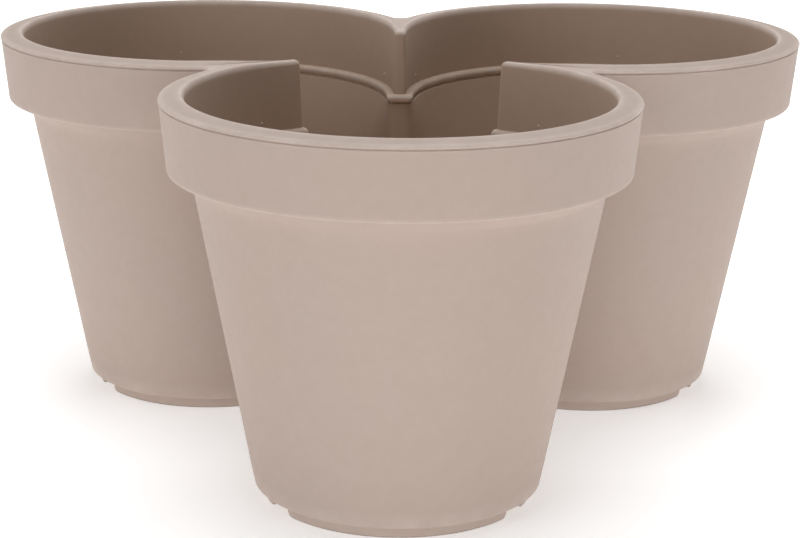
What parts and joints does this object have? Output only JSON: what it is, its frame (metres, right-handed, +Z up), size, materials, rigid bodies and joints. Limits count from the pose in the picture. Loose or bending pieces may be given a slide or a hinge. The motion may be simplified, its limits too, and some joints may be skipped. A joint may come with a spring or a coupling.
{
  "type": "plant pot",
  "caption": "Trefoil planter of round tapered pots with deep collars, open into one another above a low bridge, on notched foot rings.",
  "frame": {"origin": "on the ground, under the middle of the overall box", "axes": "+Z up; -Y towards the single front pot; +X towards the right-hand rear pot, along the line of the two rear pots"},
  "size_m": [0.4602, 0.4306, 0.2089],
  "materials": {
    "taupe_plastic": "matte moulded"
  },
  "bodies": {
    "root": {"rim_front": "taupe_plastic", "rim_right": "taupe_plastic", "rim_left": "taupe_plastic", "collar_front": "taupe_plastic", "collar_right": "taupe_plastic", "collar_left": "taupe_plastic", "lining_front": "taupe_plastic", "lining_right": "taupe_plastic", "lining_left": "taupe_plastic", "bead_front": "taupe_plastic", "bead_right": "taupe_plastic", "bead_left": "taupe_plastic", "wall_front": "taupe_plastic", "wall_right": "taupe_plastic", "wall_left": "taupe_plastic", "floor_front": "taupe_plastic", "floor_right": "taupe_plastic", "floor_left": "taupe_plastic", "foot_front": "taupe_plastic", "foot_right": "taupe_plastic", "foot_left": "taupe_plastic", "post_rear": "taupe_plastic", "post_left": "taupe_plastic", "post_right": "taupe_plastic", "bridge": "taupe_plastic"}
  },
  "joints": []
}
